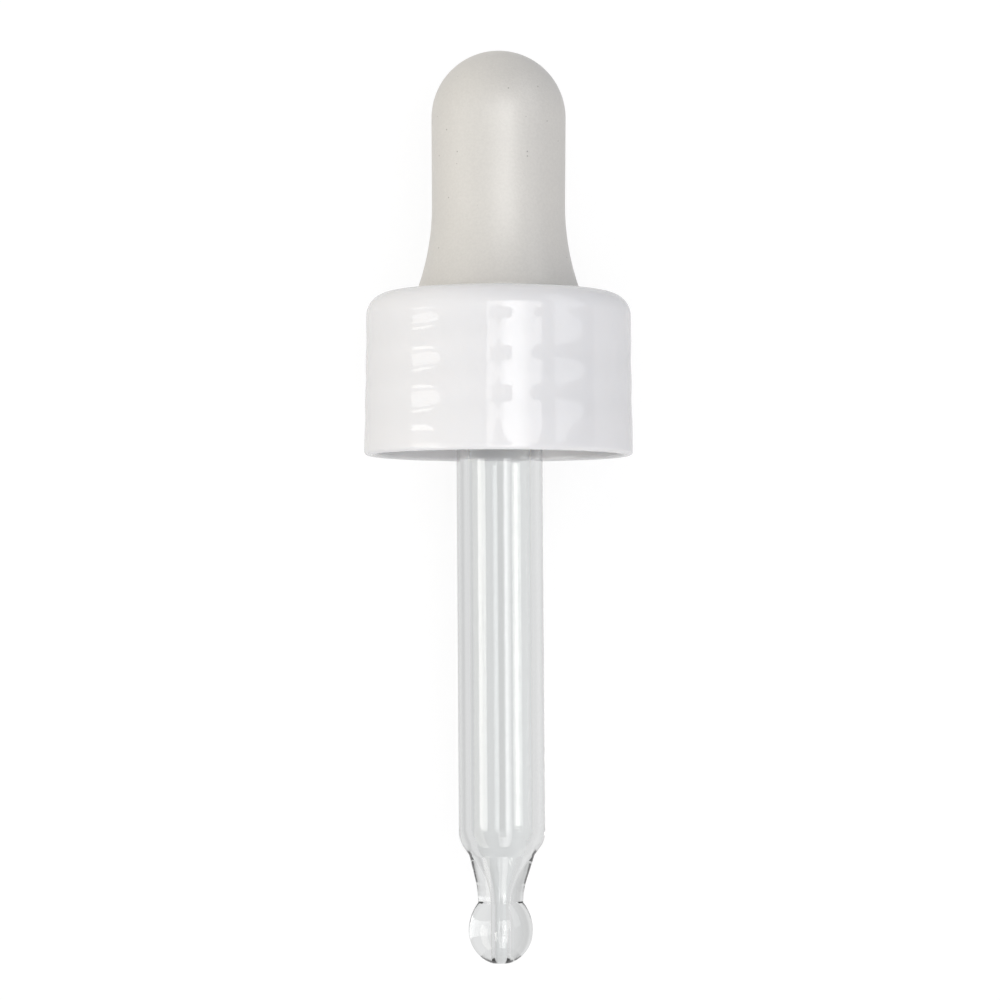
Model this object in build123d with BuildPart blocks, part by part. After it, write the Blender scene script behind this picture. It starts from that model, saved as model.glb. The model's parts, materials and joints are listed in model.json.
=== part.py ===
from build123d import *

import os
from math import cos, radians, sin, tan

# A dropper closure for a small bottle: a rubber teat snapped into a threaded screw cap, and a
# ball-tipped glass pipette pushed up into the teat. Millimetres and degrees.
#
# Every profile is drawn as (radius, height): the radius from the closure's axis, and the height
# above the cap's rim, positive towards the teat. The finished closure lies on its cap's skirt.

# Screw cap
cap_height = 13.2
rim_radius = 10.94  # outside, where the drafted skirt meets the rim plane
skirt_draft = 0.8  # degrees
skirt_wall = 0.84  # at the rim; the bore has no draft
shoulder_radius = 1.85
panel_thickness = 1.4
panel_corner_radius = 0.8  # inside, between the skirt and the top panel
rim_edge_radius = 0.35
rim_lip_radius = 0.3
hole_radius = 5.0
hole_edge_radius = 0.25

# Internal thread, one right-hand start, whose major radius is the skirt's bore
thread_pitch = 25.4 / 8
thread_length = 7.62  # along the axis, from one end of the ridge's centre line to the other
thread_depth = 0.9
thread_crest_width = 0.75
thread_crest_rise = 0.12  # how far the rounded crest stands above its own edges
thread_flank_angle = 30  # degrees from the radial direction
thread_root = 0.2  # how far the ridge is let into the skirt
thread_crossing = 3.6  # height at which it first crosses the side that lies uppermost
thread_lead_angle = 130  # degrees that it starts before that crossing
run_out_angle = 30  # degrees in which each end rises from the wall to full depth
run_out_depth = 0.15  # where each end starts

# Rubber teat
bulb_height = 19.87  # above the cap's top
bulb_radius = 5.48
waist_inset = 0.05  # how much slimmer the bulb is where it meets the bell
bell_height = 7.2
bell_radius = 6.75
bell_edge_radius = 0.3
teat_wall = 1.3
flange_thickness = 1.4
flange_edge_radius = 0.3
grip_lead_in = 0.5
grip_overrun = 0.4  # how far the bore that holds the glass runs past the glass
grip_taper_length = 1.2

# Glass pipette
tube_radius = 3.5
tube_wall = 1.0
tube_insertion = 7.0  # its upper end, from the flange's face
tube_edge_radius = 0.4
stem_reach = 41.1  # from the rim to the end of the ball
ball_radius = 2.6
ball_crown_height = 2.26  # from the ball's widest place up to the neck
neck_radius = 1.83
neck_sweep_share = 0.68  # of the rise from the neck to the tube; the rest is a cone
neck_taper_angle = 30  # degrees from the axis
drawn_shoulder_radius = 0.7
tip_bore_radius = 0.55
tip_face_width = 0.25
tip_lip_radius = 0.15
funnel_foot_drop = 0.1  # the funnel's end below the neck
funnel_sweep_share = 0.48  # of the rise from the tip's bore to the tube's
funnel_taper_angle = 28  # degrees from the axis
funnel_shoulder_radius = 0.7

# Clearances, on the radius
neck_clearance = 0.05  # the teat's neck in the cap's hole
flange_clearance = 0.45  # the teat's flange inside the thread's crests
grip_clearance = 0.02  # the glass in the teat's bore

# The skirt lies on z = 0 along one line, so the axis is tipped by the draft, with its tip end high
draft = radians(skirt_draft)
overall_length = cap_height + bulb_height + stem_reach
rim_centre = Vector(0, stem_reach - overall_length / 2, rim_radius * cos(draft))
teatward = Vector(0, cos(draft), -sin(draft))
uppermost = Vector(0, sin(draft), cos(draft))
profile_plane = Plane(origin=rim_centre, x_dir=(1, 0, 0), z_dir=uppermost)
closure_axis = Axis(rim_centre, teatward)

panel_underside = cap_height - panel_thickness
flange_face = panel_underside - flange_thickness


def round_corner(section, corner, radius):
    """Rounds the corner of a section that lies nearest to the given (radius, height)."""
    fillet(section.vertices().sort_by_distance((*corner, 0))[0], radius)


# ---------------------------------------------------------------- screw cap
cap_top_radius = rim_radius - cap_height * tan(draft)
thread_major_radius = rim_radius - skirt_wall
thread_bottom = thread_crossing - thread_pitch * thread_lead_angle / 360
thread_sweep = 360 * thread_length / thread_pitch
flank_slope = tan(radians(thread_flank_angle))
# each stretch of the thread as (start angle, end angle, depth at its start, depth at its end)
thread_stretches = (
    (0, run_out_angle, run_out_depth, thread_depth),
    (run_out_angle, thread_sweep - run_out_angle, thread_depth, thread_depth),
    (thread_sweep - run_out_angle, thread_sweep, thread_depth, run_out_depth),
)


def thread_path(start, end):
    """The thread's helix on the skirt's wall between two angles, counted from its lower end."""
    foot = rim_centre + teatward * (thread_bottom + thread_pitch * start / 360)
    turn = radians(start - thread_lead_angle)
    towards_start = uppermost * cos(turn) + Vector(sin(turn), 0, 0)
    foot_plane = Plane(origin=foot, x_dir=towards_start, z_dir=teatward)
    rise = thread_pitch * (end - start) / 360
    return foot_plane.location * Helix(thread_pitch, rise, thread_major_radius)


def ridge_plane(path, place):
    """The plane across the thread at a place on its path, with x towards the closure's axis."""
    point = path @ place
    height = (point - rim_centre).dot(teatward)
    inward = rim_centre + teatward * height - point
    return Plane(origin=point, x_dir=inward, z_dir=path % place)


with BuildPart() as screw_cap:
    with BuildSketch(profile_plane) as cap_section:
        with BuildLine():
            Polyline(
                (hole_radius, cap_height),
                (cap_top_radius, cap_height),
                (rim_radius, 0),
                (thread_major_radius, 0),
                (thread_major_radius, panel_underside),
                (hole_radius, panel_underside),
                close=True,
            )
        make_face()
        round_corner(cap_section, (cap_top_radius, cap_height), shoulder_radius)
        round_corner(cap_section, (rim_radius, 0), rim_edge_radius)
        round_corner(cap_section, (thread_major_radius, 0), rim_lip_radius)
        round_corner(cap_section, (thread_major_radius, panel_underside), panel_corner_radius)
        round_corner(cap_section, (hole_radius, cap_height), hole_edge_radius)
        round_corner(cap_section, (hole_radius, panel_underside), hole_edge_radius)
    revolve(axis=closure_axis)

    for start, end, start_depth, end_depth in thread_stretches:
        helix = thread_path(start, end)
        for place, depth in ((0, start_depth), (1, end_depth)):
            crest_edge = depth - min(thread_crest_rise, depth / 2)
            base_width = thread_crest_width + 2 * crest_edge * flank_slope
            with BuildSketch(ridge_plane(helix, place)):
                with BuildLine():
                    Polyline(
                        (crest_edge, thread_crest_width / 2),
                        (0, base_width / 2),
                        (-thread_root, base_width / 2),
                        (-thread_root, -base_width / 2),
                        (0, -base_width / 2),
                        (crest_edge, -thread_crest_width / 2),
                    )
                    ThreePointArc(
                        (crest_edge, -thread_crest_width / 2),
                        (depth, 0),
                        (crest_edge, thread_crest_width / 2),
                    )
                make_face()
        sweep(path=helix, multisection=True, is_frenet=True)
screw_cap.part.label = "screw_cap"

# ---------------------------------------------------------------- rubber teat
bulb_top = cap_height + bulb_height
waist_radius = bulb_radius - waist_inset
waist_height = cap_height + bell_height
dome_base = bulb_top - bulb_radius
air_radius = bulb_radius - teat_wall
air_top = bulb_top - teat_wall
teat_neck_radius = hole_radius - neck_clearance
flange_radius = thread_major_radius - thread_depth - flange_clearance
grip_radius = tube_radius + grip_clearance
tube_top = flange_face + tube_insertion
grip_top = tube_top + grip_overrun

with BuildPart() as rubber_teat:
    with BuildSketch(profile_plane) as teat_section:
        with BuildLine():
            Line((0, air_top), (0, bulb_top))
            TangentArc((bulb_radius, dome_base), (0, bulb_top), tangent=(0, 1))
            Line((bulb_radius, dome_base), (waist_radius, waist_height))
            TangentArc((waist_radius, waist_height), (bell_radius, cap_height), tangent=(0, -1))
            Polyline(
                (bell_radius, cap_height),
                (teat_neck_radius, cap_height),
                (teat_neck_radius, panel_underside),
                (flange_radius, panel_underside),
                (flange_radius, flange_face),
                (grip_radius + grip_lead_in, flange_face),
                (grip_radius, flange_face + grip_lead_in),
                (grip_radius, grip_top),
                (air_radius, grip_top + grip_taper_length),
                (air_radius, dome_base),
            )
            TangentArc((air_radius, dome_base), (0, air_top), tangent=(0, 1))
        make_face()
        round_corner(teat_section, (bell_radius, cap_height), bell_edge_radius)
        round_corner(teat_section, (flange_radius, panel_underside), flange_edge_radius)
        round_corner(teat_section, (flange_radius, flange_face), flange_edge_radius)
    revolve(axis=closure_axis)
rubber_teat.part.label = "rubber_teat"

# ---------------------------------------------------------------- glass pipette
bore_radius = tube_radius - tube_wall
ball_height = ball_radius - stem_reach
neck_height = ball_height + ball_crown_height
funnel_foot = neck_height - funnel_foot_drop
tip_face_radius = tip_bore_radius + tip_face_width


def drawn_taper(foot_radius, foot_height, sweep_share, angle, full_radius):
    """Where a wall that flares up from a neck leaves its curve, and where its cone is full size."""
    turn = radians(angle)
    sweep_rise = sweep_share * (full_radius - foot_radius)
    cone_radius = foot_radius + sweep_rise
    cone_foot = foot_height + sweep_rise * sin(turn) / (1 - cos(turn))
    cone_top = cone_foot + (full_radius - cone_radius) / tan(turn)
    return (cone_radius, cone_foot), (full_radius, cone_top)


neck_cone_foot, neck_cone_top = drawn_taper(
    neck_radius, neck_height, neck_sweep_share, neck_taper_angle, tube_radius
)
funnel_cone_foot, funnel_cone_top = drawn_taper(
    tip_bore_radius, funnel_foot, funnel_sweep_share, funnel_taper_angle, bore_radius
)

with BuildPart() as glass_pipette:
    with BuildSketch(profile_plane) as pipette_section:
        with BuildLine():
            Polyline(
                funnel_cone_foot,
                funnel_cone_top,
                (bore_radius, tube_top),
                (tube_radius, tube_top),
                neck_cone_top,
                neck_cone_foot,
            )
            TangentArc((neck_radius, neck_height), neck_cone_foot, tangent=(0, 1))
            TangentArc((ball_radius, ball_height), (neck_radius, neck_height), tangent=(0, 1))
            TangentArc((ball_radius, ball_height), (tip_face_radius, -stem_reach), tangent=(0, -1))
            Polyline(
                (tip_face_radius, -stem_reach),
                (tip_bore_radius, -stem_reach),
                (tip_bore_radius, funnel_foot),
            )
            TangentArc((tip_bore_radius, funnel_foot), funnel_cone_foot, tangent=(0, 1))
        make_face()
        round_corner(pipette_section, (tube_radius, tube_top), tube_edge_radius)
        round_corner(pipette_section, (bore_radius, tube_top), tube_edge_radius)
        round_corner(pipette_section, neck_cone_top, drawn_shoulder_radius)
        round_corner(pipette_section, funnel_cone_top, funnel_shoulder_radius)
        round_corner(pipette_section, (tip_bore_radius, -stem_reach), tip_lip_radius)
    revolve(axis=closure_axis)
glass_pipette.part.label = "glass_pipette"

# ---------------------------------------------------------------- files
os.makedirs("parts", exist_ok=True)
export_step(screw_cap.part, "parts/screw_cap.step")
export_step(rubber_teat.part, "parts/rubber_teat.step")
export_step(glass_pipette.part, "parts/glass_pipette.step")
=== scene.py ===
import json
from math import asin, atan2, cos, exp, pi, radians, sin, tan

import bmesh
import bpy
from bpy.props import FloatProperty, FloatVectorProperty, PointerProperty
from mathutils import Matrix, Vector


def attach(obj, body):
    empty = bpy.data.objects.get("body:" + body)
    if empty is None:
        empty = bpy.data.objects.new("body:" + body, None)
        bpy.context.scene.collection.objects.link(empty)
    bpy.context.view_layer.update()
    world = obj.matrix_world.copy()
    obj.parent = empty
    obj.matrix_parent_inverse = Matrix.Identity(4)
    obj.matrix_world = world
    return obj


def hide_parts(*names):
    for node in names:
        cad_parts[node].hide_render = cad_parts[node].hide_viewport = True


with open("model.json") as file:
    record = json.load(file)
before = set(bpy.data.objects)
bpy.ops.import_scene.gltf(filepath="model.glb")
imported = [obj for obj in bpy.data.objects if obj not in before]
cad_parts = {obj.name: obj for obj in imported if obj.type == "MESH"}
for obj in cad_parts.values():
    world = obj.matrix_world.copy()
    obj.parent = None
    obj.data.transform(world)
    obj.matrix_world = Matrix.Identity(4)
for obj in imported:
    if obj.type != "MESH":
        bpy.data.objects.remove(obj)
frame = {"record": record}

bl_info = {
    "name": "Dropper closure",
    "version": (1, 0, 0),
    "blender": (4, 5, 0),
    "location": "View3D > Sidebar > Dropper",
    "description": "A screw cap with a rubber teat and a ball-tipped glass pipette",
    "category": "Add Mesh",
}

# Every section is drawn as (radius, height): the radius from the closure's axis, and the height
# above the cap's rim, positive towards the teat. Sizes are in metres and angles in radians.
MM = 0.001
MERGE = 1e-7
TURN_STEPS = 256
RIDGE_STEPS = 172
SHARP_ANGLE = radians(32)

# Small sizes and angles that no user would change
HOLE_RADIUS = 5.0 * MM
HOLE_EDGE_RADIUS = 0.25 * MM
PANEL_CORNER_RADIUS = 0.8 * MM
RIM_EDGE_RADIUS = 0.35 * MM
RIM_LIP_RADIUS = 0.3 * MM
THREAD_CREST_WIDTH = 0.75 * MM
THREAD_CREST_RISE = 0.12 * MM
THREAD_FLANK = radians(30)
THREAD_ROOT = 0.2 * MM
THREAD_CROSSING = 3.6 * MM
THREAD_LEAD = radians(130)
RUN_OUT = radians(30)
RUN_OUT_DEPTH = 0.15 * MM
SINK_OVERRUN = radians(20)
SINK_FADE = radians(14)
FLANGE_THICKNESS = 1.4 * MM
FLANGE_EDGE_RADIUS = 0.3 * MM
FLANGE_CLEARANCE = 0.45 * MM
BELL_EDGE_RADIUS = 0.3 * MM
WAIST_INSET = 0.05 * MM
GRIP_LEAD_IN = 0.5 * MM
GRIP_OVERRUN = 0.4 * MM
GRIP_TAPER = 1.2 * MM
NECK_CLEARANCE = 0.05 * MM
GRIP_CLEARANCE = 0.02 * MM
TUBE_EDGE_RADIUS = 0.4 * MM
SHOULDER_TAPER = radians(37)
SHOULDER_FILLET = 1.95 * MM
STEP_RADIUS = 2.657 * MM
STEP_FILLET = 0.5 * MM
BALL_CROWN_HEIGHT = 2.26 * MM
NECK_SWEEP_SHARE = 0.326
NECK_TAPER = radians(16)
FUNNEL_DROP = 0.1 * MM
FUNNEL_SWEEP_SHARE = 0.48
FUNNEL_TAPER = radians(28)
FUNNEL_FILLET = 1.5 * MM
TIP_FACE_WIDTH = 0.25 * MM
TIP_LIP_RADIUS = 0.15 * MM

# The detail of the finishes: how wide it is, and how far it stands
PLASTIC_CLOUD = 6 * MM
PEEL_SIZE = 1.4 * MM
PEEL_HEIGHT = 0.0025 * MM
RUBBER_CLOUD = 5 * MM
GRAIN_SIZE = 0.22 * MM
GRAIN_HEIGHT = 0.02 * MM
SPECK_SPACING = 0.8 * MM
DRAW_LINE_WIDTH = 0.9 * MM
DRAW_LINE_HEIGHT = 0.00025 * MM
DRAW_LINE_STRETCH = 0.04

# The stage. Its tilts are in degrees and a glow of 1 is white. A painted shadow band and a painted
# light band go across the floor, seen through glass.
LIGHT_DISTANCE = 0.9
HOOD_DISTANCE = 0.8
LOW_TILT = -12
HIGH_TILT = 12
FLOOR_HALF_WIDTH = 3
FLOOR_GLOW = 1.12
MIRRORED_LOSS = 0.32
# Painted shadow of the tube on the floor, and a painted light band beside it, both seen only
# through glass
PAINTED_SHADOW_BAND = (-12 * MM, -8 * MM, -7 * MM, -1 * MM)
PAINTED_SHADOW_LOSS = 0.17
PAINTED_LIGHT_BAND = (1 * MM, 4 * MM, 8 * MM, 13 * MM)
PAINTED_LIGHT_GAIN = 0.08


def length(name, description, millimetres):
    """A size that a user can change."""
    return FloatProperty(
        name=name,
        description=description,
        default=millimetres * MM,
        min=0,
        precision=5,
        unit="LENGTH",
    )


def angle(name, description, degrees):
    """An angle that a user can change."""
    return FloatProperty(
        name=name, description=description, default=radians(degrees), subtype="ANGLE"
    )


def share(name, description, default):
    """A number from none to all, that a user can change."""
    return FloatProperty(
        name=name, description=description, default=default, min=0, max=1, subtype="FACTOR"
    )


def strength(name, description, default):
    """How bright a light is, that a user can change."""
    return FloatProperty(name=name, description=description, default=default, min=0)


def colour(name, description, default):
    """A colour that a user can change."""
    return FloatVectorProperty(
        name=name, description=description, default=default, size=3, min=0, max=1, subtype="COLOR"
    )


class CapSettings(bpy.types.PropertyGroup):
    """The sizes and the finish of the screw cap."""

    height: length("Height", "From the rim to the flat top", 13.2)
    rim_radius: length("Rim radius", "Outside radius at the rim", 10.94)
    draft: angle("Draft", "How much the skirt leans in towards the top", 0.8)
    wall: length("Wall", "Thickness of the skirt at the rim", 0.84)
    shoulder_radius: length("Shoulder radius", "Rounding between skirt and top", 1.85)
    panel_thickness: length("Top thickness", "Thickness of the flat top", 1.4)
    thread_pitch: length("Thread pitch", "Rise of the inside thread in a turn", 3.175)
    thread_length: length("Thread length", "Length of the thread along the axis", 7.62)
    thread_depth: length("Thread depth", "How far the thread stands in from the wall", 0.9)
    sink_depth: length("Sink depth", "Depth of the mark that the thread leaves outside", 0.055)
    sink_width: length("Sink width", "Half width of the mark that the thread leaves", 1.05)
    plastic: colour("Plastic", "Colour of the moulded plastic", (0.865, 0.86, 0.865))


class TeatSettings(bpy.types.PropertyGroup):
    """The sizes and the finish of the rubber teat."""

    bulb_height: length("Bulb height", "From the top of the cap to the end", 19.87)
    bulb_radius: length("Bulb radius", "Radius where the dome starts", 5.48)
    bell_height: length("Bell height", "Height of the flared foot", 7.2)
    bell_radius: length("Bell radius", "Radius of the foot on the cap", 6.75)
    wall: length("Wall", "Thickness of the bulb's rubber", 1.3)
    rubber: colour("Rubber", "Colour of the rubber", (0.69, 0.67, 0.63))
    speck: colour("Specks", "Colour of the specks in the rubber", (0.2, 0.18, 0.15))


class PipetteSettings(bpy.types.PropertyGroup):
    """The sizes and the finish of the glass pipette."""

    tube_radius: length("Tube radius", "Outside radius of the tube", 3.5)
    tube_wall: length("Tube wall", "Thickness of the glass", 1.0)
    insertion: length("Insertion", "Length that is held in the teat", 7.0)
    reach: length("Reach", "From the cap's rim to the end of the ball", 41.1)
    ball_radius: length("Ball radius", "Radius of the ball", 2.6)
    neck_radius: length("Neck radius", "Radius of the drawn neck", 1.83)
    bore_radius: length("Tip bore radius", "Radius of the hole in the ball", 0.55)
    lean: angle("Lean", "How far the glass stands out of line in the rubber", 0.38)
    tip_offset: length("Tip offset", "How far the drawn tip is off the tube's axis", 0.15)
    tint: colour("Tint", "Colour of the glass", (0.955, 0.965, 0.965))


class StudioSettings(bpy.types.PropertyGroup):
    """The floor, the lights and the camera."""

    camera_height: length("Camera height", "From the closure's axis to the lens", 274.0)
    camera_along: length("Camera along", "From the cap's rim towards the tip", 13.2)
    camera_right: length("Camera right", "From the closure's axis", 0.12)
    camera_turn: angle("Camera turn", "Towards the teat", 2.005)
    lens: FloatProperty(
        name="Lens", description="Focal length", default=121.3, subtype="DISTANCE_CAMERA"
    )
    floor: colour("Floor", "Colour of the floor", (0.8, 0.8, 0.8))
    shadow: share("Shadow", "How much of the floor's own light is seen", 0.25)
    through_glass: strength("Through glass", "Brightness of the floor seen through glass", 0.74)
    room_left: strength("Room left", "Brightness of the room on the left", 0.71)
    room_right: strength("Room right", "Brightness of the room on the right", 0.17)


CLOSURE_GROUPS = {
    "dropper_cap": CapSettings,
    "dropper_teat": TeatSettings,
    "dropper_pipette": PipetteSettings,
    "dropper_studio": StudioSettings,
}


def panel_underside(scene):
    return scene.dropper_cap.height - scene.dropper_cap.panel_thickness


def flange_face(scene):
    return panel_underside(scene) - FLANGE_THICKNESS


def thread_major_radius(scene):
    return scene.dropper_cap.rim_radius - scene.dropper_cap.wall


def lying_frame(scene):
    """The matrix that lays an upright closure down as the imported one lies, with its tip high."""
    seal = next(m for m in frame["record"]["mounts"] if m["name"] == "bottle_seal")
    teatward = -Vector(seal["axis"]).normalized()
    right = Vector((1, 0, 0))
    uppermost = right.cross(teatward)
    foot = Vector(seal["pos_m"])
    foot.x = 0
    rim_centre = foot - teatward * flange_face(scene)
    turned = Matrix((right, teatward, uppermost)).transposed().to_4x4()
    return Matrix.Translation(rim_centre) @ turned


class Outline:
    """The section of a turned piece, drawn from one corner to the next as (radius, height)."""

    def __init__(self, radius, height):
        self.bm = bmesh.new()
        self.last = self.first = self.bm.verts.new((radius, height, 0))

    def to(self, radius, height):
        """Draws a straight line, and returns the corner that it ends at."""
        corner = self.bm.verts.new((radius, height, 0))
        self.bm.edges.new((self.last, corner))
        self.last = corner
        return corner

    def arc(self, centre, sweep, steps):
        """Sweeps the last corner round a centre, anticlockwise where the sweep is positive."""
        swept = bmesh.ops.spin(
            self.bm,
            geom=[self.last],
            cent=(*centre, 0),
            axis=(0, 0, 1),
            angle=sweep,
            steps=steps,
        )
        self.last = swept["geom_last"][0]
        return self.last

    def close(self):
        self.bm.edges.new((self.last, self.first))

    def merge(self):
        bmesh.ops.remove_doubles(self.bm, verts=self.bm.verts, dist=MERGE)

    def round(self, corner, radius, segments=6):
        """Rounds a corner between two straight lines."""
        one, other = (edge.other_vert(corner).co - corner.co for edge in corner.link_edges)
        offset = radius / tan(one.angle(other) / 2)
        bmesh.ops.bevel(
            self.bm,
            geom=[corner],
            offset=offset,
            offset_type="OFFSET",
            segments=segments,
            profile=0.5,
            affect="VERTICES",
            material=-1,
        )

    def divide(self, longer_than):
        """Divides the straight lines, so that no edge is much longer than this."""
        for edge in list(self.bm.edges):
            cuts = int(edge.calc_length() / longer_than)
            if cuts:
                bmesh.ops.subdivide_edges(self.bm, edges=[edge], cuts=cuts)

    def turned(self, steps=TURN_STEPS):
        """The section spun a full turn round the closure's axis."""
        bmesh.ops.spin(
            self.bm,
            geom=self.bm.verts[:] + self.bm.edges[:],
            cent=(0, 0, 0),
            axis=(0, 1, 0),
            angle=2 * pi,
            steps=steps,
            use_merge=True,
        )
        bmesh.ops.remove_doubles(self.bm, verts=self.bm.verts, dist=MERGE)
        return self.bm


def bow(step, rise):
    """The radius and sweep of an arc that starts along the axis and ends a step out, a rise on."""
    radius = (step * step + rise * rise) / (2 * step)
    return radius, asin(rise / radius)


def drawn_taper(foot_radius, foot_height, sweep_share, turn, full_radius):
    """A wall that flares up from a neck: its curve's radius, and the two ends of its cone."""
    sweep_rise = sweep_share * (full_radius - foot_radius)
    sweep_radius = sweep_rise / (1 - cos(turn))
    cone_radius = foot_radius + sweep_rise
    cone_foot = foot_height + sweep_radius * sin(turn)
    cone_top = cone_foot + (full_radius - cone_radius) / tan(turn)
    return sweep_radius, (cone_radius, cone_foot), (full_radius, cone_top)


def add_piece(scene, bm, name, node, finish):
    """Lays a finished mesh in its place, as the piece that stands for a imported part."""
    bmesh.ops.recalc_face_normals(bm, faces=bm.faces)
    bm.transform(lying_frame(scene))
    mesh = bpy.data.meshes.new(name)
    bm.to_mesh(mesh)
    bm.free()
    mesh.materials.append(finish)
    mesh.shade_smooth()
    mesh.set_sharp_from_angle(angle=SHARP_ANGLE)
    piece = bpy.data.objects.new(name, mesh)
    scene.collection.objects.link(piece)
    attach(piece, "root")
    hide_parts(node)
    return piece


# ---------------------------------------------------------------- finishes
class Value:
    """A number that changes over a surface. Arithmetic on it adds Math nodes."""

    def __init__(self, finish, socket):
        self.finish = finish
        self.socket = socket

    def maths(self, operation, *values):
        node = self.finish.node(
            "ShaderNodeMath", {"operation": operation}, dict(enumerate(values))
        )
        return Value(self.finish, node.outputs[0])

    def __add__(self, other):
        return self.maths("ADD", self, other)

    def __radd__(self, other):
        return self.maths("ADD", other, self)

    def __sub__(self, other):
        return self.maths("SUBTRACT", self, other)

    def __rsub__(self, other):
        return self.maths("SUBTRACT", other, self)

    def __mul__(self, other):
        return self.maths("MULTIPLY", self, other)

    def __rmul__(self, other):
        return self.maths("MULTIPLY", other, self)

    def below(self, limit):
        """1 where the value is below the limit, and 0 elsewhere."""
        return self.maths("LESS_THAN", self, limit)

    def above(self, limit):
        """1 where the value is above the limit, and 0 elsewhere."""
        return self.maths("GREATER_THAN", self, limit)

    def at_most(self, limit):
        return self.maths("MINIMUM", self, limit)

    def at_least(self, limit):
        return self.maths("MAXIMUM", self, limit)

    def smooth(self, low, high):
        """Rises smoothly from 0 to 1 as the value goes from low to high."""
        node = self.finish.node(
            "ShaderNodeMapRange",
            {"interpolation_type": "SMOOTHSTEP"},
            {"Value": self, "From Min": low, "From Max": high},
        )
        return Value(self.finish, node.outputs["Result"])

    def within(self, start, full, falling, end):
        """Rises from 0 to 1 between the first two places, and falls back between the last two."""
        return self.smooth(start, full) * (1 - self.smooth(falling, end))


class Finish:
    """A node tree, whose nodes all come from one method."""

    def __init__(self, owner):
        owner.use_nodes = True
        self.tree = owner.node_tree
        self.tree.nodes.clear()

    def node(self, kind, settings=None, inputs=None):
        """Adds a node, with its settings set first and then its sockets' values or links."""
        node = self.tree.nodes.new(kind)
        for name, value in (settings or {}).items():
            setattr(node, name, value)
        for name, value in (inputs or {}).items():
            socket = node.inputs[name]
            if isinstance(value, Value):
                value = value.socket
            if isinstance(value, bpy.types.NodeSocket):
                self.tree.links.new(value, socket)
            else:
                socket.default_value = value
        return node

    def value(self, kind, output, settings=None, inputs=None):
        """Adds a node, and returns one of its outputs as a value."""
        return Value(self, self.node(kind, settings, inputs).outputs[output])

    def place(self):
        """The place on the piece, in metres."""
        return self.node("ShaderNodeTexCoord").outputs["Object"]

    def along(self, axis, place):
        """How far a place is along X, Y or Z."""
        return self.value("ShaderNodeSeparateXYZ", axis, None, {"Vector": place})

    def noise(self, place, size, detail=2.0, roughness=0.5):
        """Cloudy noise whose patches are about this size."""
        return self.value(
            "ShaderNodeTexNoise",
            "Fac",
            None,
            {"Vector": place, "Scale": 1 / size, "Detail": detail, "Roughness": roughness},
        )

    def mixed(self, amount, one, other):
        """A colour between two others."""
        node = self.node(
            "ShaderNodeMix", {"data_type": "RGBA"}, {"Factor": amount, 6: one, 7: other}
        )
        return node.outputs[2]

    def bump(self, height, distance):
        """A normal that follows a height, whose full range stands this far."""
        node = self.node(
            "ShaderNodeBump", None, {"Height": height, "Distance": distance, "Strength": 1.0}
        )
        return node.outputs["Normal"]


def new_material(name, colour):
    material = bpy.data.materials.new(name)
    material.diffuse_color = (*colour, 1)
    return material


def shaded(colour, factor):
    """A colour made darker or lighter, with its alpha."""
    return (*(min(1, part * factor) for part in colour), 1)


def plastic_finish(cap):
    """Glossy moulded plastic, with the faint orange peel of its mould."""
    material = new_material("glossy_white_plastic", cap.plastic)
    finish = Finish(material)
    place = finish.place()
    cloud = finish.noise(place, PLASTIC_CLOUD, 3)
    peel = finish.noise(place, PEEL_SIZE, 1)
    plastic = finish.mixed(cloud, shaded(cap.plastic, 0.985), shaded(cap.plastic, 1.01))
    shader = finish.node(
        "ShaderNodeBsdfPrincipled",
        None,
        {
            "Base Color": plastic,
            "Roughness": 0.008 + 0.01 * cloud,
            "IOR": 1.49,
            "Subsurface Weight": 0.3,
            "Subsurface Radius": (1.0, 0.95, 0.9),
            "Subsurface Scale": 0.8 * MM,
            "Normal": finish.bump(peel, PEEL_HEIGHT),
        },
    )
    finish.node("ShaderNodeOutputMaterial", None, {"Surface": shader.outputs["BSDF"]})
    return material


def rubber_finish(teat):
    """Matte rubber, with a fine grain and a few dark specks."""
    material = new_material("matte_off_white_rubber", teat.rubber)
    finish = Finish(material)
    place = finish.place()
    cloud = finish.noise(place, RUBBER_CLOUD, 4, 0.6)
    grain = finish.noise(place, GRAIN_SIZE, 4, 0.65)
    cells = finish.node(
        "ShaderNodeTexVoronoi", None, {"Vector": place, "Scale": 1 / SPECK_SPACING}
    )
    near = Value(finish, cells.outputs["Distance"])
    picked = finish.value(
        "ShaderNodeSeparateColor", "Red", None, {"Color": cells.outputs["Color"]}
    )
    specks = (1 - near.smooth(0.05, 0.1)) * picked.above(0.75)
    mottle = 0.5 * cloud + 0.5 * grain.smooth(0.3, 0.7)
    rubber = finish.mixed(mottle, shaded(teat.rubber, 0.94), shaded(teat.rubber, 1.05))
    shader = finish.node(
        "ShaderNodeBsdfPrincipled",
        None,
        {
            "Base Color": finish.mixed(0.6 * specks, rubber, (*teat.speck, 1)),
            "Roughness": 0.31 + 0.1 * grain,
            "IOR": 1.5,
            "Normal": finish.bump(grain, GRAIN_HEIGHT),
        },
    )
    finish.node("ShaderNodeOutputMaterial", None, {"Surface": shader.outputs["BSDF"]})
    return material


def glass_finish(pipette):
    """Clear laboratory glass, with the faint draw lines of its tube."""
    material = new_material("clear_drawn_glass", pipette.tint)
    finish = Finish(material)
    stretched = finish.node(
        "ShaderNodeMapping", None, {"Vector": finish.place(), "Scale": (1, DRAW_LINE_STRETCH, 1)}
    )
    lines = finish.noise(stretched.outputs["Vector"], DRAW_LINE_WIDTH, 1)
    shader = finish.node(
        "ShaderNodeBsdfPrincipled",
        None,
        {
            "Base Color": (*pipette.tint, 1),
            "Roughness": 0.0,
            "IOR": 1.474,
            "Transmission Weight": 1.0,
            "Normal": finish.bump(lines, DRAW_LINE_HEIGHT),
        },
    )
    finish.node("ShaderNodeOutputMaterial", None, {"Surface": shader.outputs["BSDF"]})
    return material


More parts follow.
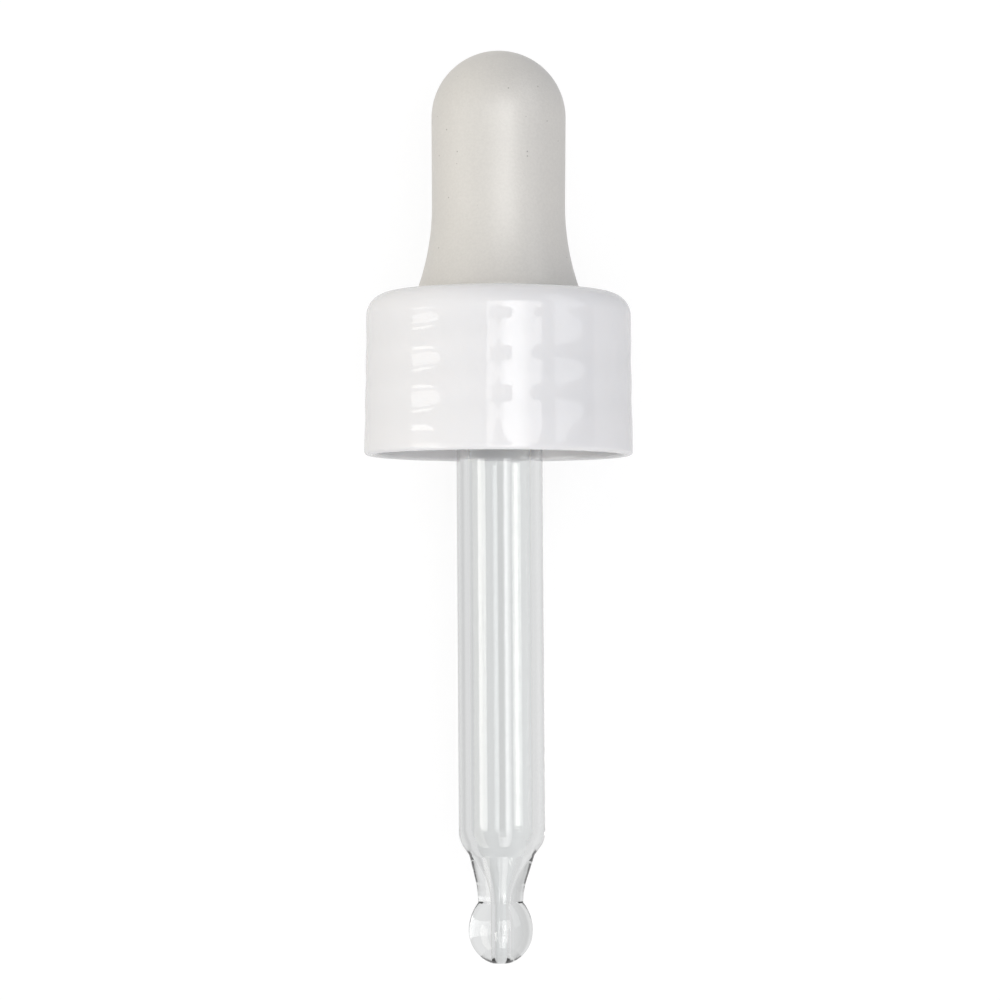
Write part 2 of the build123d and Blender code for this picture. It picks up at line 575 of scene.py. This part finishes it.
# ---------------------------------------------------------------- screw cap
def thread_bottom(cap):
    return THREAD_CROSSING - cap.thread_pitch * THREAD_LEAD / (2 * pi)


def thread_sweep(cap):
    return 2 * pi * cap.thread_length / cap.thread_pitch


def turn_beside(cap, place):
    """The angle along the thread, from its lower end, of the turn that runs nearest to a place."""
    at_height = (place.y - thread_bottom(cap)) * 2 * pi / cap.thread_pitch
    first_pass = atan2(place.x, place.z) + THREAD_LEAD
    return first_pass + 2 * pi * round((at_height - first_pass) / (2 * pi))


def sink_skirt(cap, vertices):
    """Draws the skirt's outside in over the thread, as thick places sink when the plastic cools."""
    pitch = cap.thread_pitch
    for vertex in vertices:
        turn = turn_beside(cap, vertex.co)
        for pass_turn in (turn - 2 * pi, turn, turn + 2 * pi):
            inside = min(pass_turn, thread_sweep(cap) - pass_turn) + SINK_OVERRUN
            fade = 1 / (1 + exp(-inside / SINK_FADE))
            off = vertex.co.y - thread_bottom(cap) - pitch * pass_turn / (2 * pi)
            sink = cap.sink_depth * fade * exp(-((off / cap.sink_width) ** 2))
            outward = Vector((vertex.co.x, 0, vertex.co.z)).normalized()
            vertex.co -= outward * sink


def skirt_and_top(scene):
    """The cap without its thread."""
    cap = scene.dropper_cap
    top_radius = cap.rim_radius - cap.height * tan(cap.draft)
    bore = thread_major_radius(scene)
    under = panel_underside(scene)
    section = Outline(HOLE_RADIUS, cap.height)
    shoulder = section.to(top_radius, cap.height)
    rim_edge = section.to(cap.rim_radius, 0)
    rim_lip = section.to(bore, 0)
    panel_corner = section.to(bore, under)
    hole_foot = section.to(HOLE_RADIUS, under)
    section.close()
    hole_edge = section.first
    section.round(shoulder, cap.shoulder_radius, 16)
    section.round(rim_edge, RIM_EDGE_RADIUS)
    section.round(rim_lip, RIM_LIP_RADIUS)
    section.round(panel_corner, PANEL_CORNER_RADIUS)
    section.round(hole_edge, HOLE_EDGE_RADIUS)
    section.round(hole_foot, HOLE_EDGE_RADIUS)
    section.divide(0.22 * MM)
    bm = section.turned()
    middle = bore + cap.wall / 2
    outside = [v for v in bm.verts if Vector((v.co.x, v.co.z)).length > middle]
    outside = [v for v in outside if v.co.y > RIM_EDGE_RADIUS]
    sink_skirt(cap, outside)
    return bm


def thread_ridge(scene, bm):
    """Adds the inside thread, a ridge let into the skirt's wall, with run-outs at its ends."""
    cap = scene.dropper_cap
    major = thread_major_radius(scene)
    crest_edge = cap.thread_depth - THREAD_CREST_RISE
    half_crest = THREAD_CREST_WIDTH / 2
    half_base = half_crest + crest_edge * tan(THREAD_FLANK)
    halfway = crest_edge + 0.75 * THREAD_CREST_RISE
    upper = [
        (-THREAD_ROOT, half_base),
        (0, half_base),
        (crest_edge, half_crest),
        (halfway, half_crest / 2),
    ]
    lower = [(depth, -off) for depth, off in reversed(upper)]
    ring = [
        bm.verts.new((major - depth, thread_bottom(cap) + off, 0))
        for depth, off in upper + [(cap.thread_depth, 0)] + lower
    ]
    start = bm.faces.new(ring)
    bmesh.ops.rotate(
        bm, verts=ring, cent=(0, 0, 0), matrix=Matrix.Rotation(-THREAD_LEAD - pi / 2, 3, "Y")
    )
    before = set(bm.verts) - set(ring)
    bmesh.ops.spin(
        bm,
        geom=[start, *start.edges, *ring],
        cent=(0, 0, 0),
        axis=(0, 1, 0),
        dvec=(0, cap.thread_length / RIDGE_STEPS, 0),
        angle=thread_sweep(cap),
        steps=RIDGE_STEPS,
    )
    ridge = [v for v in bm.verts if v not in before]
    open_edges = [e for v in ridge for e in v.link_edges if len(e.link_faces) == 1]
    if open_edges:
        bmesh.ops.holes_fill(bm, edges=list(set(open_edges)), sides=0)
    for vertex in ridge:
        spoke = Vector((vertex.co.x, 0, vertex.co.z))
        depth = major - spoke.length
        if depth > MERGE:
            turn = turn_beside(cap, vertex.co)
            inside = max(0, min(turn, thread_sweep(cap) - turn))
            part = min(1, inside / RUN_OUT)
            end_share = RUN_OUT_DEPTH / cap.thread_depth
            new_depth = depth * (end_share + (1 - end_share) * part)
            vertex.co += spoke.normalized() * (depth - new_depth)


# ---------------------------------------------------------------- operators
class MESH_OT_dropper_cap(bpy.types.Operator):
    """Model the threaded screw cap"""

    bl_idname = "mesh.dropper_cap"
    bl_label = "Screw Cap"

    def execute(self, context):
        scene = context.scene
        bm = skirt_and_top(scene)
        thread_ridge(scene, bm)
        finish = plastic_finish(scene.dropper_cap)
        add_piece(scene, bm, "moulded_cap", "screw_cap", finish)
        return {"FINISHED"}


class MESH_OT_dropper_teat(bpy.types.Operator):
    """Model the rubber teat, with its bulb, its bell and the flange inside the cap"""

    bl_idname = "mesh.dropper_teat"
    bl_label = "Rubber Teat"

    def execute(self, context):
        scene = context.scene
        cap, teat, pipette = scene.dropper_cap, scene.dropper_teat, scene.dropper_pipette
        end = cap.height + teat.bulb_height
        dome_base = end - teat.bulb_radius
        waist = teat.bulb_radius - WAIST_INSET
        waist_height = cap.height + teat.bell_height
        neck = HOLE_RADIUS - NECK_CLEARANCE
        flange = thread_major_radius(scene) - cap.thread_depth - FLANGE_CLEARANCE
        face = flange_face(scene)
        grip = pipette.tube_radius + GRIP_CLEARANCE
        grip_top = face + pipette.insertion + GRIP_OVERRUN
        air = teat.bulb_radius - teat.wall
        bell_bow, bell_sweep = bow(teat.bell_radius - waist, teat.bell_height)

        section = Outline(0, end)
        section.arc((0, dome_base), -pi / 2, 40)
        section.to(waist, waist_height)
        bell_foot = section.arc((waist + bell_bow, waist_height), bell_sweep, 15)
        section.to(neck, cap.height)
        section.to(neck, panel_underside(scene))
        flange_edge = section.to(flange, panel_underside(scene))
        flange_lip = section.to(flange, face)
        section.to(grip + GRIP_LEAD_IN, face)
        section.to(grip, face + GRIP_LEAD_IN)
        section.to(grip, grip_top)
        section.to(air, grip_top + GRIP_TAPER)
        section.to(air, dome_base)
        section.arc((0, dome_base), pi / 2, 20)
        section.round(bell_foot, BELL_EDGE_RADIUS)
        section.round(flange_edge, FLANGE_EDGE_RADIUS)
        section.round(flange_lip, FLANGE_EDGE_RADIUS)
        section.divide(0.7 * MM)
        bm = section.turned()
        finish = rubber_finish(teat)
        add_piece(scene, bm, "rubber_bulb", "rubber_teat", finish)
        return {"FINISHED"}


class MESH_OT_dropper_pipette(bpy.types.Operator):
    """Model the glass tube, drawn down to its ball tip"""

    bl_idname = "mesh.dropper_pipette"
    bl_label = "Glass Pipette"

    def execute(self, context):
        scene = context.scene
        pipette = scene.dropper_pipette
        tube = pipette.tube_radius
        bore = tube - pipette.tube_wall
        tube_top = flange_face(scene) + pipette.insertion
        ball_height = pipette.ball_radius - pipette.reach
        neck_height = ball_height + BALL_CROWN_HEIGHT
        funnel_foot = neck_height - FUNNEL_DROP
        face_radius = pipette.bore_radius + TIP_FACE_WIDTH
        neck_bow, neck_cone, step = drawn_taper(
            pipette.neck_radius, neck_height, NECK_SWEEP_SHARE, NECK_TAPER, STEP_RADIUS
        )
        shoulder = (tube, step[1] + (tube - STEP_RADIUS) / tan(SHOULDER_TAPER))
        funnel_bow, funnel_cone, funnel_shoulder = drawn_taper(
            pipette.bore_radius, funnel_foot, FUNNEL_SWEEP_SHARE, FUNNEL_TAPER, bore
        )
        crown_bow, crown_sweep = bow(
            pipette.ball_radius - pipette.neck_radius, BALL_CROWN_HEIGHT
        )
        foot_bow, foot_sweep = bow(pipette.ball_radius - face_radius, pipette.ball_radius)

        section = Outline(*funnel_cone)
        inner_shoulder = section.to(*funnel_shoulder)
        inner_end = section.to(bore, tube_top)
        outer_end = section.to(tube, tube_top)
        outer_shoulder = section.to(*shoulder)
        outer_step = section.to(*step)
        section.to(*neck_cone)
        section.arc((pipette.neck_radius + neck_bow, neck_height), NECK_TAPER, 24)
        section.arc((pipette.ball_radius - crown_bow, ball_height), -crown_sweep, 18)
        section.arc((pipette.ball_radius - foot_bow, ball_height), -foot_sweep, 30)
        tip_lip = section.to(pipette.bore_radius, -pipette.reach)
        section.to(pipette.bore_radius, funnel_foot)
        section.arc((pipette.bore_radius + funnel_bow, funnel_foot), -FUNNEL_TAPER, 24)
        section.merge()
        section.round(inner_shoulder, FUNNEL_FILLET, 14)
        section.round(inner_end, TUBE_EDGE_RADIUS)
        section.round(outer_end, TUBE_EDGE_RADIUS)
        section.round(outer_shoulder, SHOULDER_FILLET, 16)
        section.round(outer_step, STEP_FILLET, 8)
        section.round(tip_lip, TIP_LIP_RADIUS)
        section.divide(1.5 * MM)
        bm = section.turned()

        for vertex in bm.verts:
            drawn = (shoulder[1] - vertex.co.y) / (shoulder[1] - neck_height)
            drawn = max(0, min(1, drawn))
            vertex.co.x -= pipette.tip_offset * drawn * drawn * (3 - 2 * drawn)
        held = (0, flange_face(scene) + pipette.insertion / 3, 0)
        bmesh.ops.rotate(
            bm, verts=bm.verts, cent=held, matrix=Matrix.Rotation(pipette.lean, 3, "Z")
        )
        finish = glass_finish(pipette)
        add_piece(scene, bm, "drawn_pipette", "glass_pipette", finish)
        return {"FINISHED"}


# ---------------------------------------------------------------- stage
def towards(azimuth, tilt, distance, middle):
    """A place in a direction from the closure, on a flat panel that faces it from the middle."""
    spoke = distance / cos(azimuth - middle)
    return Vector((spoke * sin(azimuth), spoke * tan(tilt), spoke * cos(azimuth)))


def add_lamp(scene, name, azimuths, tilts, brightness, tint):
    """A soft lamp over the closure, between two azimuths round it and two tilts along it."""
    first, last = (radians(azimuth) for azimuth in azimuths)
    middle = (first + last) / 2
    low, high = (LIGHT_DISTANCE * tan(radians(tilt)) for tilt in tilts)
    data = bpy.data.lights.new(name, "AREA")
    data.shape = "RECTANGLE"
    data.size = 2 * LIGHT_DISTANCE * tan((last - first) / 2)
    data.size_y = high - low
    data.energy = brightness * pi * data.size * data.size_y
    data.color = tint
    lamp = bpy.data.objects.new(name, data)
    lamp.visible_camera = False
    lamp.visible_glossy = False
    lamp.visible_transmission = False
    scene.collection.objects.link(lamp)
    outward = Vector((sin(middle), 0, cos(middle)))
    across = Vector((cos(middle), 0, -sin(middle)))
    along = Vector((0, 1, 0))
    centre = outward * LIGHT_DISTANCE + along * (low + high) / 2
    turned = Matrix((across, along, outward)).transposed().to_4x4()
    lamp.matrix_world = lying_frame(scene) @ Matrix.Translation(centre) @ turned


def add_panel(
    scene,
    name,
    corners,
    brightness,
    through,
    tint,
    distance=LIGHT_DISTANCE,
    core=None,
    low=LOW_TILT,
):
    """A panel that only shows in gloss, at one brightness, and through glass, at another.

    Its corners are (azimuth, tilt) in degrees. Above its low tilt and below HIGH_TILT it has its
    own brightness through glass, and elsewhere that of the floor. A core is a part between some
    azimuths that is brighter in both.
    """
    corners = [(radians(azimuth), radians(tilt)) for azimuth, tilt in corners]
    middle = sum(azimuth for azimuth, tilt in corners) / len(corners)
    bm = bmesh.new()
    bm.faces.new([bm.verts.new(towards(*corner, distance, middle)) for corner in corners])
    bm.transform(lying_frame(scene))
    mesh = bpy.data.meshes.new(name)
    bm.to_mesh(mesh)
    bm.free()
    panel = bpy.data.objects.new(name, mesh)
    panel.visible_camera = False
    panel.visible_diffuse = False
    panel.visible_shadow = False
    scene.collection.objects.link(panel)
    material = new_material(name, tint)
    finish = Finish(material)
    path = finish.node("ShaderNodeLightPath")
    if core:
        across = finish.along("X", finish.place())
        fade = [towards(radians(azimuth), 0, distance, middle).x for azimuth in core["fade"]]
        band = [towards(radians(azimuth), 0, distance, middle).x for azimuth in core["band"]]
        brightness = brightness + (core["brightness"] - brightness) * across.within(*fade)
        inside = across.above(band[0]) * across.below(band[1])
        through = through + (core["through"] - through) * inside
    plain = scene.dropper_studio.through_glass
    along = finish.along("Y", finish.place())
    start, end = (towards(0, radians(tilt), distance, 0).y for tilt in (low, HIGH_TILT))
    beside = along.above(start) * along.below(end)
    through = plain + (through - plain) * beside
    transmitted = Value(finish, path.outputs["Is Transmission Ray"])
    level = brightness + transmitted * (through - brightness)
    glow = finish.node("ShaderNodeEmission", None, {"Color": (*tint, 1), "Strength": level})
    finish.node("ShaderNodeOutputMaterial", None, {"Surface": glow.outputs[0]})
    mesh.materials.append(material)


class SCENE_OT_dropper_studio(bpy.types.Operator):
    """Set up the pale floor, the soft lights and the camera above"""

    bl_idname = "scene.dropper_studio"
    bl_label = "Studio"

    def execute(self, context):
        scene = context.scene
        studio = scene.dropper_studio
        self.lay_floor(scene, studio)
        self.light_room(scene, studio)
        self.hang_lamps(scene)
        self.place_camera(scene, studio)
        scene.view_settings.view_transform = "Standard"
        return {"FINISHED"}

    def lay_floor(self, scene, studio):
        """A floor that is white to the camera but for its shadow, and greyer through glass, where a
        painted shadow band and a painted light band cross it.
        """
        bm = bmesh.new()
        bmesh.ops.create_grid(bm, x_segments=1, y_segments=1, size=FLOOR_HALF_WIDTH)
        mesh = bpy.data.meshes.new("floor")
        bm.to_mesh(mesh)
        bm.free()
        floor = bpy.data.objects.new("floor", mesh)
        scene.collection.objects.link(floor)
        material = new_material("pale_floor", studio.floor)
        finish = Finish(material)
        path = finish.node("ShaderNodeLightPath")
        camera = Value(finish, path.outputs["Is Camera Ray"])
        glossy = Value(finish, path.outputs["Is Glossy Ray"])
        through = Value(finish, path.outputs["Is Transmission Ray"])
        seen = (camera + glossy).at_most(1) * (1 - studio.shadow) + through * studio.shadow
        across = finish.along("X", finish.place())
        # Through glass the floor is darker in a painted shadow band, where the tube's shadow falls,
        # and lighter in a painted light band beside it
        painted_shadow_and_light = 1 - PAINTED_SHADOW_LOSS * across.within(*PAINTED_SHADOW_BAND) + PAINTED_LIGHT_GAIN * across.within(*PAINTED_LIGHT_BAND)
        mirrored = (glossy - camera).at_least(0)
        level = FLOOR_GLOW - MIRRORED_LOSS * mirrored
        level = level + through * (studio.through_glass * painted_shadow_and_light - level)
        own = finish.node("ShaderNodeBsdfDiffuse", None, {"Color": (*studio.floor, 1)})
        plain = finish.node("ShaderNodeEmission", None, {"Strength": level})
        both = finish.node(
            "ShaderNodeMixShader",
            None,
            {0: seen, 1: own.outputs[0], 2: plain.outputs[0]},
        )
        finish.node("ShaderNodeOutputMaterial", None, {"Surface": both.outputs[0]})
        mesh.materials.append(material)

    def light_room(self, scene, studio):
        """A world that is white to the camera, and lights the closure more from the left."""
        scene.world = bpy.data.worlds.new("room")
        finish = Finish(scene.world)
        path = finish.node("ShaderNodeLightPath")
        camera = Value(finish, path.outputs["Is Camera Ray"])
        through = Value(finish, path.outputs["Is Transmission Ray"])
        direction = finish.node("ShaderNodeTexCoord").outputs["Generated"]
        rightward = finish.along("X", direction).smooth(-1, 1)
        soft = studio.room_left + rightward * (studio.room_right - studio.room_left)
        seen = (1 - camera) * (1 - through)
        level = camera + through * studio.through_glass + seen * soft
        tone = finish.mixed(rightward, (1.0, 0.99, 0.975, 1), (0.7, 0.78, 1.0, 1))
        room = finish.node(
            "ShaderNodeBackground",
            None,
            {"Color": finish.mixed(seen, (1, 1, 1, 1), tone), "Strength": level},
        )
        finish.node("ShaderNodeOutputWorld", None, {"Surface": room.outputs[0]})

    def hang_lamps(self, scene):
        """The lamps, which only light, and the panels, which only show in gloss and in glass."""
        warm, cool, white = (1.0, 0.98, 0.94), (0.93, 0.96, 1.0), (1, 1, 1)
        add_lamp(scene, "key_lamp", (-10, 37), (-20, 20), 2.06, (1.0, 0.99, 0.975))
        add_lamp(scene, "low_key_lamp", (-10, 37), (-56, -20), 1.0, (1.0, 0.97, 0.88))
        add_lamp(scene, "upper_left_lamp", (-60, -20), (0, 30), 0.66, (1.0, 0.98, 0.93))
        add_lamp(scene, "low_left_lamp", (-80, -48), (-56, -20), 0.45, (1.0, 0.98, 0.94))
        add_lamp(scene, "left_lamp", (-80, -48), (20, 60), 1.4, (1.0, 0.9, 0.7))
        add_lamp(scene, "right_lamp", (50, 80), (-56, -20), 2.2, (1.0, 0.95, 0.92))
        wide = [(-10, -56), (27, -56), (27, 1.5), (31, 4.0), (37, 5.0), (37, 23), (-10, 23)]
        core = {"fade": (1, 8, 15, 30), "brightness": 4.8, "band": (8, 26), "through": 3.4}
        add_panel(scene, "key_panel", wide, 2.5, 0.2, white, core=core)
        right = [(49, 3.4), (64, 5.0), (73, 6.4), (80, 9.4), (80, 56), (49, 56)]
        add_panel(scene, "right_panel", right, 1.55, 0.0, cool)
        left = [(-79, -56), (-50, -56), (-50, 1.5), (-53, 3.2), (-59, 3.9), (-79, 3.9)]
        add_panel(scene, "left_panel", left, 2.8, 6.6, warm, low=-6.5)
        gap = [(-77, 3.9), (-60, 3.9), (-60, 5.6), (-77, 5.6)]
        add_panel(scene, "left_gap", gap, 1.2, 0.74, white)
        edge = [(-79, 5.6), (-60, 5.6), (-56, 5.2), (-58, 6.4), (-64, 7.2), (-79, 7.2)]
        add_panel(scene, "left_edge", edge, 3.8, 0.74, warm)
        hood = [
            (-5.5, -16),
            (11.5, -16),
            (11.7, 3.8),
            (9, 4.5),
            (3.8, 4.8),
            (2.7, 5.8),
            (0.8, 9.3),
            (-0.6, 9.3),
            (-3.2, 5.8),
            (-3.8, 4.8),
            (-8.5, 3.8),
            (-5.5, 1.2),
        ]
        add_panel(scene, "lens_hood", hood, 0.9, 0.0, white, HOOD_DISTANCE)

    def place_camera(self, scene, studio):
        data = bpy.data.cameras.new("camera")
        data.lens = studio.lens
        data.sensor_width = 36
        data.clip_start = 0.01
        camera = bpy.data.objects.new("camera", data)
        scene.collection.objects.link(camera)
        place = Vector((studio.camera_right, -studio.camera_along, studio.camera_height))
        turn = Matrix.Rotation(studio.camera_turn, 4, "X")
        camera.matrix_world = lying_frame(scene) @ Matrix.Translation(place) @ turn
        scene.camera = camera


OPERATORS = (
    MESH_OT_dropper_cap,
    MESH_OT_dropper_teat,
    MESH_OT_dropper_pipette,
    SCENE_OT_dropper_studio,
)


class VIEW3D_PT_dropper(bpy.types.Panel):
    """The closure's pieces and their sizes"""

    bl_label = "Dropper Closure"
    bl_space_type = "VIEW_3D"
    bl_region_type = "UI"
    bl_category = "Dropper"

    def draw(self, context):
        for operator, name in zip(OPERATORS, CLOSURE_GROUPS):
            box = self.layout.box()
            box.operator(operator.bl_idname)
            settings = getattr(context.scene, name)
            for setting in settings.bl_rna.properties:
                if setting.identifier not in ("rna_type", "name"):
                    box.prop(settings, setting.identifier)


def register():
    for group in CLOSURE_GROUPS.values():
        bpy.utils.register_class(group)
    for operator in OPERATORS:
        bpy.utils.register_class(operator)
    bpy.utils.register_class(VIEW3D_PT_dropper)
    for name, group in CLOSURE_GROUPS.items():
        setattr(bpy.types.Scene, name, PointerProperty(type=group))


def unregister():
    for name in CLOSURE_GROUPS:
        delattr(bpy.types.Scene, name)
    bpy.utils.unregister_class(VIEW3D_PT_dropper)
    for operator in OPERATORS:
        bpy.utils.unregister_class(operator)
    for group in CLOSURE_GROUPS.values():
        bpy.utils.unregister_class(group)


def main():
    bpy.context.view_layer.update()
    register()
    bpy.ops.mesh.dropper_cap()
    bpy.ops.mesh.dropper_teat()
    bpy.ops.mesh.dropper_pipette()
    bpy.ops.scene.dropper_studio()


if __name__ == "__main__":
    main()
